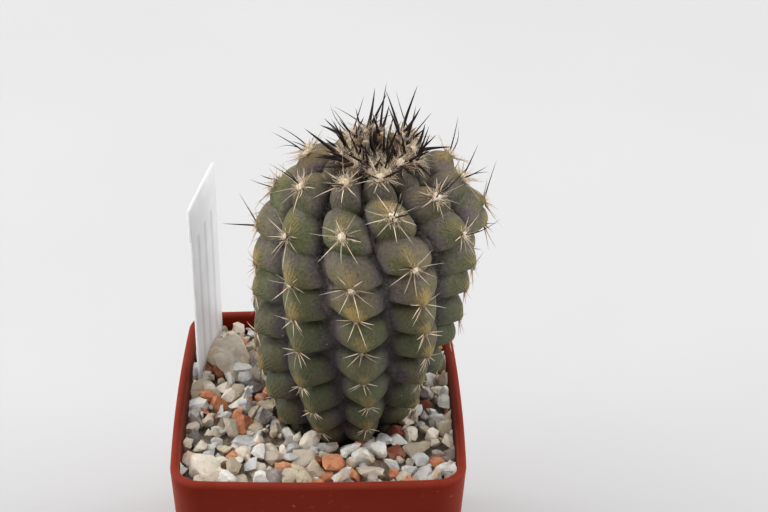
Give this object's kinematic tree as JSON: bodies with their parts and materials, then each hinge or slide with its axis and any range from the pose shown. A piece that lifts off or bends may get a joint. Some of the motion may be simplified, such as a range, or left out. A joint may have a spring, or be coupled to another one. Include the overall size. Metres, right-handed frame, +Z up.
{
  "type": "potted copiapoa cactus",
  "caption": "Small globular to columnar cactus with knobbly ribs, pale radial spines and a dark-spined crown, in a square plastic pot with gravel and a label.",
  "frame": {"origin": "middle of the pot's flat underside, on the surface that the pot stands on", "axes": "+Z up through the pot, -Y towards the front of the pot as pictured, +X to its right; the stem leans a little towards +X"},
  "size_m": [0.066, 0.0561, 0.117],
  "materials": {
    "pot_plastic": "satin",
    "potting_mix": "matte",
    "gravel_stone": "matte",
    "stem_skin": "satin",
    "areole_wool": "matte",
    "spine_straw": "satin",
    "spine_dark": "satin",
    "label_plastic": "satin"
  },
  "bodies": {
    "root": {"pot": "pot_plastic", "potting_mix": "potting_mix", "gravel": "gravel_stone", "stem": "stem_skin", "crown": "areole_wool", "plant_label": "label_plastic"}
  },
  "joints": []
}
